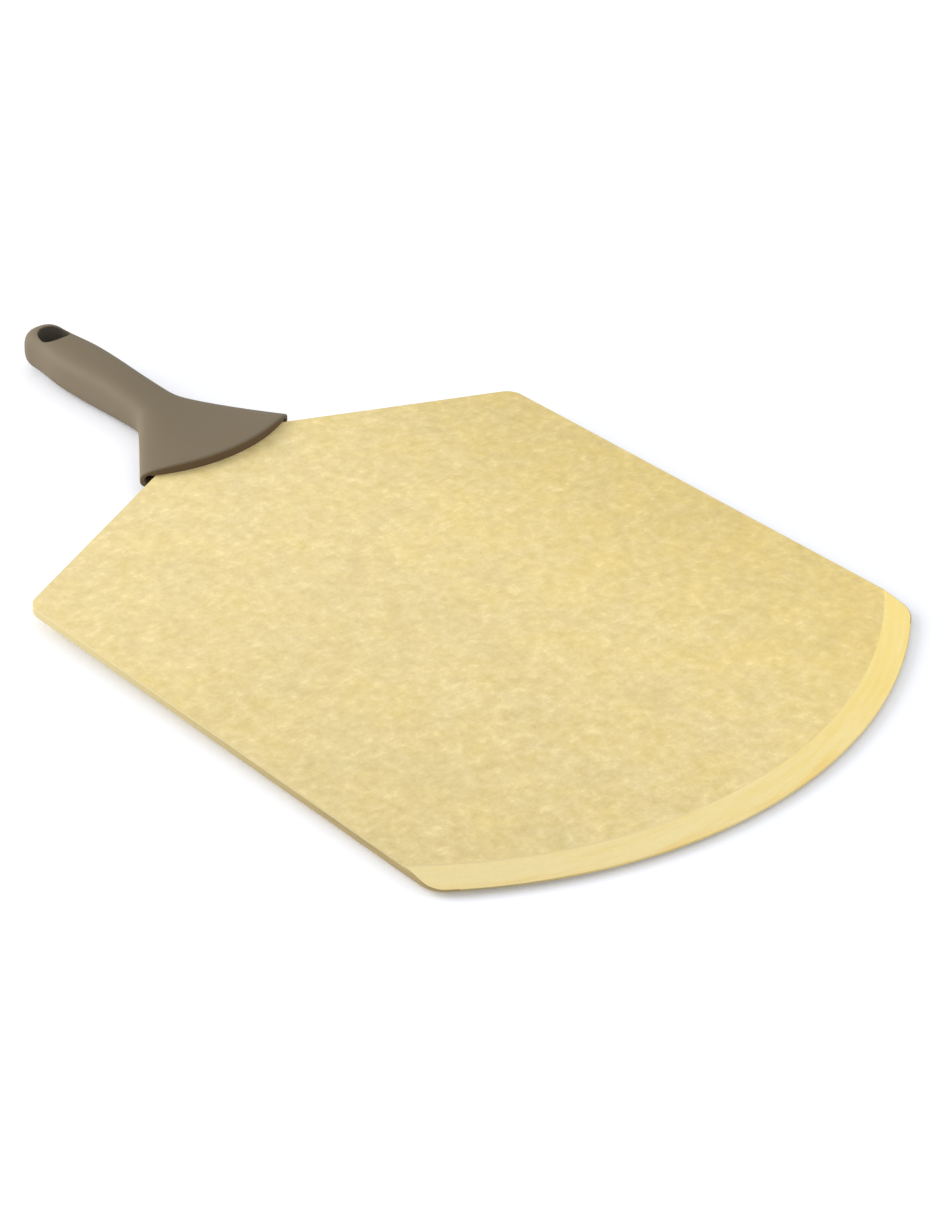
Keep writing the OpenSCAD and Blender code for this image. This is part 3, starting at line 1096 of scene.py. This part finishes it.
@dataclass
class HandleForm:
    """Curves that give the handle its outline and its crowned section.

    A width or height holds at the place along the length of the same name, and eases from
    one to the next. The section is a rounded oblong of the power section_power, and the
    round end one of end_power in plan. The flare's angle is in degrees.
    """

    mid_z: float = 0.00238
    mouth_w: float = 0.1096
    mouth_y: float = 0.126
    mouth_r: float = 0.108
    flare_angle: float = 38.9
    flare_blend: float = 0.0046
    neck_w: float = 0.0286
    neck_y: float = 0.2
    palm_w: float = 0.0324
    palm_y: float = 0.247
    end_w: float = 0.0264
    end_y: float = 0.2921
    mouth_h: float = 0.0164
    palm_h: float = 0.026
    end_h: float = 0.0248
    thicken_y: float = 0.127
    thick_y: float = 0.227
    section_power: float = 2.9
    end_power: float = 2.46

    @property
    def end_centre_y(self) -> float:
        """Centre of the round end along the length."""
        return self.end_y - self.end_w / 2

    @property
    def blend_y(self) -> float:
        """Place along the length where the flare's side meets the neck's."""
        lean = math.tan(math.radians(self.flare_angle))
        return self.mouth_y + (self.mouth_w - self.neck_w) / 2 / lean

    def half_w(self, y: float) -> float:
        """Finds the half-width of the handle before its round end.

        Args:
            y: Place along the length.

        Returns:
            The half-width.
        """
        if y < self.palm_y:
            share = (y - self.neck_y) / (self.palm_y - self.neck_y)
            grip = mix(self.neck_w, self.palm_w, ease(share)) / 2
        else:
            share = (y - self.palm_y) / (self.end_centre_y - self.palm_y)
            grip = mix(self.palm_w, self.end_w, ease(share)) / 2
        flare = self.mouth_w / 2 - (y - self.mouth_y) * math.tan(math.radians(self.flare_angle))
        return (flare + grip + math.hypot(flare - grip, self.flare_blend)) / 2

    def half_h(self, y: float) -> float:
        """Finds the half-height of the handle on its middle line.

        Args:
            y: Place along the length.

        Returns:
            The half-height.
        """
        if y < self.thick_y:
            share = (y - self.thicken_y) / (self.thick_y - self.thicken_y)
            return mix(self.mouth_h, self.palm_h, ease(share)) / 2
        share = (y - self.thick_y) / (self.end_centre_y - self.thick_y)
        return mix(self.palm_h, self.end_h, ease(share)) / 2

    def sag(self, x: float) -> float:
        """Returns how far the mouth's arc falls back at x."""
        return self.mouth_r - math.sqrt(self.mouth_r**2 - x**2)

    def bow(self, y: float) -> float:
        """Returns the share of the mouth's bow that a section at y keeps."""
        return max(0.0, min(1.0, (self.blend_y - y) / (self.blend_y - self.mouth_y)))

    def end_reach(self, turn: float, inset: float) -> float:
        """Finds the distance from the round end's centre to the outline.

        Args:
            turn: Angle from +X, in radians.
            inset: Wall taken off.

        Returns:
            The distance.
        """
        extra = self.half_w(self.end_centre_y) - self.end_w / 2
        across, along = abs(math.cos(turn)), abs(math.sin(turn))
        stretch = (across**self.end_power + along**self.end_power) ** (-1 / self.end_power)
        return (self.end_w / 2 + extra * across**2 - inset) * stretch

    def share(self, x: float, y: float, inset: float) -> float:
        """Finds how far a point lies from the middle line to the outline.

        Args:
            x: The point's place across the width.
            y: Its place along the length.
            inset: Wall taken off the skin.

        Returns:
            The share, which is 1 on the outline.
        """
        if y <= self.end_centre_y:
            return abs(x) / (self.half_w(y) - inset)
        turn = math.atan2(y - self.end_centre_y, abs(x))
        return math.hypot(x, y - self.end_centre_y) / self.end_reach(turn, inset)

    def crown(self, x: float, y: float, inset: float) -> float:
        """Finds the height of the crowned skin above the middle plane.

        Args:
            x: Place across the width.
            y: Place along the length.
            inset: Wall taken off the skin.

        Returns:
            The height.
        """
        share = min(1.0, self.share(x, y, inset))
        power = self.section_power
        return (self.half_h(y) - inset) * (1 - share**power) ** (1 / power)


@dataclass
class SkinRow:
    """One row of the skin's grid: from a place on the outline to the middle line or the hole."""

    station: float
    turn: float = 0.0
    rim: Optional[EdgePoint] = None


@dataclass
class Sleeve:
    """The soft sleeve: flared mouth with its slot, palm swell, round end and hanging hole.

    The slot lets the board in, and its round ends show beside the shoulders. Round the hole,
    the skin has a rounded rim and a step down to the core's collar, rim_depth below it. The
    rim starts at the crown's slope, which is read over the share rim_probe of its radius.
    """

    form: HandleForm = field(default_factory=HandleForm)
    hole: HangingHole = field(default_factory=HangingHole)
    wall: float = 0.0024
    lip_depth: float = 0.005
    mouth_arris_r: float = 0.0012
    mouth_wall: float = 0.0024
    slot_end_r: float = 0.00288
    slot_top_z: float = 0.00466
    rim_r: float = 0.0007
    rim_depth: float = 0.00075
    rim_probe: float = 0.1
    collar_reach: float = 0.00195
    slot_share: float = 0.9
    columns: int = 28
    arris_steps: int = 5
    flare_rows: int = 26
    grip_rows: int = 34
    hole_rows: int = 36
    rim_steps: int = 5
    side_marks: int = 30
    end_marks: int = 60
    halvings: int = 36
    slot_passes: int = 12
    crease: float = 42.0

    def outer(self, row: SkinRow, inset: float) -> tuple[float, float]:
        """Finds a row's point on the outline.

        Args:
            row: The row.
            inset: Wall taken off the skin.

        Returns:
            The point's x and y.
        """
        if row.turn == 0:
            return self.form.half_w(row.station) - inset, row.station
        reach = self.form.end_reach(row.turn, inset)
        return reach * math.cos(row.turn), self.form.end_centre_y + reach * math.sin(row.turn)

    def plan(self, row: SkinRow, inset: float, grow: float, share: float) -> tuple[float, float]:
        """Finds a point of a row in plan.

        Args:
            row: The row.
            inset: Wall taken off the skin.
            grow: Distance that the row stops short of the hole.
            share: 0 on the outline, 1 at the row's inner end.

        Returns:
            The point's x and y.
        """
        form = self.form
        x, y = self.outer(row, inset)
        if row.rim is None:
            inner_x = x * (1 - share)
            return inner_x, y - form.bow(row.station) * (form.sag(x) - form.sag(inner_x))
        inner = row.rim.moved(grow, 0.0)
        return mix(x, inner.x, share), mix(y, inner.y, share)

    def skin_row(self, row: SkinRow, inset: float, grow: float = 0.0) -> Row:
        """Sets a row's points where the crown's curve wants them, close together at the side.

        Where the core's collar fills the handle from side to side, the row is one point.

        Args:
            row: The row.
            inset: Wall taken off the skin.
            grow: Distance that the row stops short of the hole.

        Returns:
            The row's points, from the outline inwards.
        """
        form = self.form
        power = form.section_power / 2
        inner_share = form.share(*self.plan(row, inset, grow, 1.0), inset)
        if inner_share >= 1:
            return [Vector((*self.outer(row, inset), form.mid_z))] * (self.columns + 1)
        inner = math.asin(inner_share**power)
        points = []
        for step in range(self.columns + 1):
            angle = mix(math.pi / 2, inner, step / self.columns)
            target = math.sin(angle) ** (1 / power)
            low, high = 0.0, 1.0
            for _ in range(self.halvings):
                middle = (low + high) / 2
                if form.share(*self.plan(row, inset, grow, middle), inset) > target:
                    low = middle
                else:
                    high = middle
            share = step / self.columns if step in (0, self.columns) else (low + high) / 2
            x, y = self.plan(row, inset, grow, share)
            height = 0.0 if step == 0 else form.crown(x, y, inset)
            points.append(Vector((x, y, form.mid_z + height)))
        return points

    def hole_zone(self) -> list[SkinRow]:
        """Spaces the rows that run from the outline to the hanging hole.

        Returns:
            The rows, from the hole's front to the round end's tip.
        """
        form = self.form
        start = self.hole.corner_y - self.hole.corner_r - self.rim_r
        path = [SkinRow(y) for y in spread(start, form.end_centre_y, self.side_marks)]
        turns = spread(0.0, math.pi / 2, self.end_marks)
        path += [SkinRow(form.end_centre_y, turn) for turn in turns[1:]]
        # Each mark carries its row's station and turn where an outline has its normal.
        marks = []
        for row in path:
            x, y = self.outer(row, 0.0)
            marks.append(EdgePoint(x, y, row.station, row.turn))
        chosen = even_points(marks, self.hole_rows)
        rims = self.hole.outline(self.hole_rows)
        return [SkinRow(mark.normal_x, mark.normal_y, rim) for mark, rim in zip(chosen, rims)]

    def rows(self, start: float) -> list[SkinRow]:
        """Lays out the skin's rows.

        Args:
            start: Station of the first row.

        Returns:
            The rows, from there to the round end's tip.
        """
        form = self.form
        zone = self.hole_zone()
        flare = spread(start, form.blend_y, self.flare_rows)
        grip = spread(form.blend_y, zone[0].station, self.grip_rows)
        return [SkinRow(y) for y in flare + grip[1:-1]] + zone

    def rim_column(self, rim: EdgePoint) -> Row:
        """Makes the hole's rounded rim, its underside and the step to the core.

        Args:
            rim: The point of the hole's outline.

        Returns:
            The section's points, from the skin inwards.
        """
        form = self.form
        probe = self.rim_r * self.rim_probe
        start = rim.moved(self.rim_r, 0.0)
        near = rim.moved(self.rim_r - probe, 0.0)
        top = form.crown(start.x, start.y, 0.0)
        slope = (form.crown(near.x, near.y, 0.0) - top) / probe
        corner = top + slope * self.rim_r
        column = []
        for t in spread(0.0, 1.0, self.rim_steps):
            distance = self.rim_r * (1 - t) ** 2
            height = top * (1 - t) ** 2 + 2 * corner * t * (1 - t) + (corner - self.rim_r) * t**2
            column.append(rim.moved(distance, form.mid_z + height))
        for distance, inset in ((0.0, self.rim_depth), (self.collar_reach, self.rim_depth)):
            place = rim.moved(distance, 0.0)
            column.append(rim.moved(distance, form.mid_z + form.crown(place.x, place.y, inset)))
        return column

    def slot_place(self, offset: float, station: float, limit: float) -> tuple[float, float]:
        """Finds a point of the slot's round end on a bowed section.

        Args:
            offset: Distance of the point from the round end's axis, square to the flare's side.
            station: The section's place along the length at its side.
            limit: The section's half-width.

        Returns:
            The point's x and y.
        """
        form = self.form
        lean = math.radians(form.flare_angle)
        axis = form.mouth_w / 2 - (self.mouth_wall + self.slot_end_r - offset) / math.cos(lean)
        x = limit
        for _ in range(self.slot_passes):
            y = station - form.bow(station) * (form.sag(limit) - form.sag(x))
            x = axis - (y - form.mouth_y) * math.tan(lean)
        return x, y

    def slot_ring(self, shares: Sequence[float], station: float, limit: float) -> Row:
        """Makes the slot's upper outline on a bowed section.

        Args:
            shares: Places from the middle line (0) to the side (1).
            station: The section's place along the length at its side.
            limit: The section's half-width.

        Returns:
            A point for each share.
        """
        form = self.form
        rise = self.slot_top_z - form.mid_z
        first = math.pi - math.asin(rise / self.slot_end_r)
        join, _ = self.slot_place(self.slot_end_r * math.cos(first), station, limit)
        ring = []
        for share in shares:
            if share <= self.slot_share:
                x = join * share / self.slot_share
                y = station - form.bow(station) * (form.sag(limit) - form.sag(x))
                ring.append(Vector((x, y, self.slot_top_z)))
                continue
            turn = mix(first, 0.0, (share - self.slot_share) / (1 - self.slot_share))
            x, y = self.slot_place(self.slot_end_r * math.cos(turn), station, limit)
            ring.append(Vector((x, y, form.mid_z + self.slot_end_r * math.sin(turn))))
        return ring

    def build(self, skin: bpy.types.Material, lip: bpy.types.Material) -> bpy.types.Object:
        """Builds and dresses the sleeve.

        Args:
            skin: Material of the skin.
            lip: Material of the lip's front, the skin's taupe painted darker as shade.

        Returns:
            The sleeve.
        """
        form = self.form
        arris = []
        for turn in spread(0.0, math.pi / 2, self.arris_steps)[:-1]:
            row = SkinRow(form.mouth_y + self.mouth_arris_r * (1 - math.cos(turn)))
            arris.append(self.skin_row(row, self.mouth_arris_r * (1 - math.sin(turn))))
        rims = [self.rim_column(row.rim) for row in self.hole_zone()]
        outer_rows = self.rows(form.mouth_y + self.mouth_arris_r)
        inner_rows = self.rows(form.mouth_y + self.lip_depth)
        outside = arris + [self.skin_row(row, 0.0, self.rim_r) for row in outer_rows]
        inside = [self.skin_row(row, self.wall, self.collar_reach) for row in inner_rows]
        limit = outside[0][0].x
        shares = [point.x / limit for point in outside[0]]
        front = self.slot_ring(shares, form.mouth_y, limit)
        back = self.slot_ring(shares, form.mouth_y + self.lip_depth, inside[0][0].x)
        collar = [[row[-1], column[-1]] for row, column in zip(inside[-self.hole_rows - 1 :], rims)]
        faces = FaceSet()
        faces.grid(outside, SleeveFinish.SKIN)
        # The lip's front takes the skin painted darker as shade.
        faces.grid([outside[0], front], SleeveFinish.SHADED_LIP)
        for rows in ([front, back, inside[0]], inside, rims, collar):
            faces.grid(rows, SleeveFinish.SKIN)
        faces.mirror(0)
        faces.mirror(2, form.mid_z)
        sleeve = faces.build("soft_sleeve", (skin, lip), self.crease)
        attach(sleeve, "root")
        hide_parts("handle_sleeve")
        return sleeve


@dataclass
class Core:
    """The rigid core's two halves and the screws that clamp them, shown as their own solids."""

    halves: tuple[str, ...] = ("core_upper", "core_lower")
    screws: str = "core_screws"

    def dress(
        self, plastic: bpy.types.Material, steel: bpy.types.Material
    ) -> list[bpy.types.Object]:
        """Gives the solids their materials.

        Args:
            plastic: Material of the halves.
            steel: Material of the screws.

        Returns:
            The solids.
        """
        dressed = []
        for name, finish in [(half, plastic) for half in self.halves] + [(self.screws, steel)]:
            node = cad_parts[name]
            node.data.materials.clear()
            node.data.materials.append(finish)
            dressed.append(node)
        return dressed


@dataclass(frozen=True)
class Softbox:
    """One square soft lamp, aimed at the board's middle."""

    name: str
    direction: tuple[float, float, float]
    distance: float
    size: float
    power: float
    colour: Colour = WHITE

    def hang(self) -> bpy.types.Object:
        """Hangs the lamp, turned to the board's middle.

        Returns:
            The lamp.
        """
        lamp = bpy.data.lights.new(self.name, "AREA")
        lamp.size = self.size
        lamp.energy = self.power
        lamp.color = self.colour
        holder = bpy.data.objects.new(self.name, lamp)
        toward = Vector(self.direction).normalized()
        holder.location = toward * self.distance
        holder.rotation_mode = "QUATERNION"
        holder.rotation_quaternion = toward.to_track_quat("Z", "Y")
        bpy.context.scene.collection.objects.link(holder)
        return holder


@dataclass
class Studio:
    """White floor under the part, soft lamps and a white surround.

    The floor is tilted, in metres of fall for each metre along the part, so that the grip
    rests on it. The surround lights the part at the level of ambient and is seen as white.
    """

    half_floor: float = 6.0
    tilt: float = 0.01675
    front_y: float = -0.2921
    front_gap: float = 0.002
    floor_white: Colour = (0.877, 0.889, 0.93)
    camera_lift: float = 0.14
    ambient: Colour = (0.8, 0.805, 0.81)
    softboxes: tuple[Softbox, ...] = (
        Softbox("back_softbox", (-0.56, 0.78, 0.45), distance=4.2, size=2.4, power=105.0),
        Softbox("side_fill", (-0.8, 0.55, 0.2), distance=3.0, size=1.6, power=20.0),
    )

    def floor_paint(self) -> bpy.types.Material:
        """Mixes white paint that keeps the shadow and shows a white ground.

        Returns:
            The material.
        """
        paint = Coat("studio_floor")
        matt = paint.add("ShaderNodeBsdfDiffuse", {}, {"Color": paint.colour(self.floor_white)})
        lift = {"Color": paint.colour(WHITE), "Strength": paint.seen() * self.camera_lift}
        glow = paint.add("ShaderNodeEmission", {}, lift)
        return paint.close(paint.add("ShaderNodeAddShader", {}, {0: matt, 1: glow}))

    def floor(self) -> bpy.types.Object:
        """Makes the floor, which carries the grip and passes just under the front edge.

        Returns:
            The floor.
        """
        reach = self.half_floor
        plan = ((-reach, -reach), (reach, -reach), (reach, reach), (-reach, reach))
        faces = FaceSet()
        faces.face(
            Vector((x, y, -self.front_gap - (y - self.front_y) * self.tilt)) for x, y in plan
        )
        floor = faces.build("studio_floor", (self.floor_paint(),))
        return floor

    def surround(self) -> None:
        """Makes the world: white where it is seen or mirrored, and dimmer as a light."""
        world = bpy.data.worlds.new("studio_surround")
        world.use_nodes = True
        paint = Paint(world.node_tree)
        colour = paint.blend(paint.seen(), self.ambient, WHITE)
        sky = paint.add("ShaderNodeBackground", {}, {"Color": colour, "Strength": 1.0})
        paint.output("ShaderNodeOutputWorld", sky)
        bpy.context.scene.world = world

    def build(self) -> None:
        """Makes the floor, the world and the lamps."""
        self.floor()
        self.surround()
        for softbox in self.softboxes:
            softbox.hang()
            LOG.info("%s: %.1f W", softbox.name, softbox.power)


@dataclass
class PhotoCamera:
    """Camera at the photograph's place and angles, solved from the board's outline.

    The angles are in degrees, and the lens and the sensor's width in millimetres.
    """

    place: tuple[float, float, float] = (-0.88267, -0.89953, 0.80348)
    yaw: float = -47.0537
    pitch: float = 33.6763
    roll: float = 3.9943
    lens: float = 82.11
    sensor_w: float = 36.0
    clip: tuple[float, float] = (0.05, 30.0)

    def build(self) -> bpy.types.Object:
        """Makes the camera and looks through it.

        Returns:
            The camera.
        """
        yaw, pitch, roll = (math.radians(angle) for angle in (self.yaw, self.pitch, self.roll))
        reach = math.cos(pitch)
        back = Vector((math.sin(yaw) * reach, -math.cos(yaw) * reach, math.sin(pitch)))
        level = Vector((math.cos(yaw), math.sin(yaw), 0.0))
        above = back.cross(level)
        right = level * math.cos(roll) + above * math.sin(roll)
        up = above * math.cos(roll) - level * math.sin(roll)
        data = bpy.data.cameras.new("photo_camera")
        data.sensor_width = self.sensor_w
        data.lens = self.lens
        data.clip_start, data.clip_end = self.clip
        camera = bpy.data.objects.new("photo_camera", data)
        turned = Matrix((right, up, back)).transposed().to_4x4()
        camera.matrix_world = Matrix.Translation(Vector(self.place)) @ turned
        bpy.context.scene.collection.objects.link(camera)
        bpy.context.scene.camera = camera
        return camera


def main() -> None:
    """Builds the camera, the board, the sleeve, the core and the studio."""
    logging.basicConfig(level=logging.INFO, format="%(name)s: %(message)s")
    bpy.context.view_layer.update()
    bpy.context.scene.view_settings.view_transform = "Standard"
    camera = PhotoCamera().build()
    LOG.info("%s: lens %.2f mm", camera.name, camera.data.lens)
    board = Board()
    bevel = GroundBevel(board.inner_r, board.front_r)
    blade = board.build(FibreFace().material(), bevel.material(), SawnEdge().material())
    LOG.info("%s stands for the blade", blade.name)
    # The lip's front is the same skin, painted darker as shade.
    lip = SoftSkin("lip_painted_shade", linear(104, 84, 64), linear(98, 80, 62))
    sleeve = Sleeve().build(SoftSkin().material(), lip.material())
    LOG.info("%s stands for the handle's sleeve", sleeve.name)
    for node in Core().dress(CorePlastic().material(), ScrewSteel().material()):
        LOG.info("%s keeps its solid", node.name)
    Studio().build()
    bpy.context.view_layer.update()


if __name__ == "__main__":
    main()
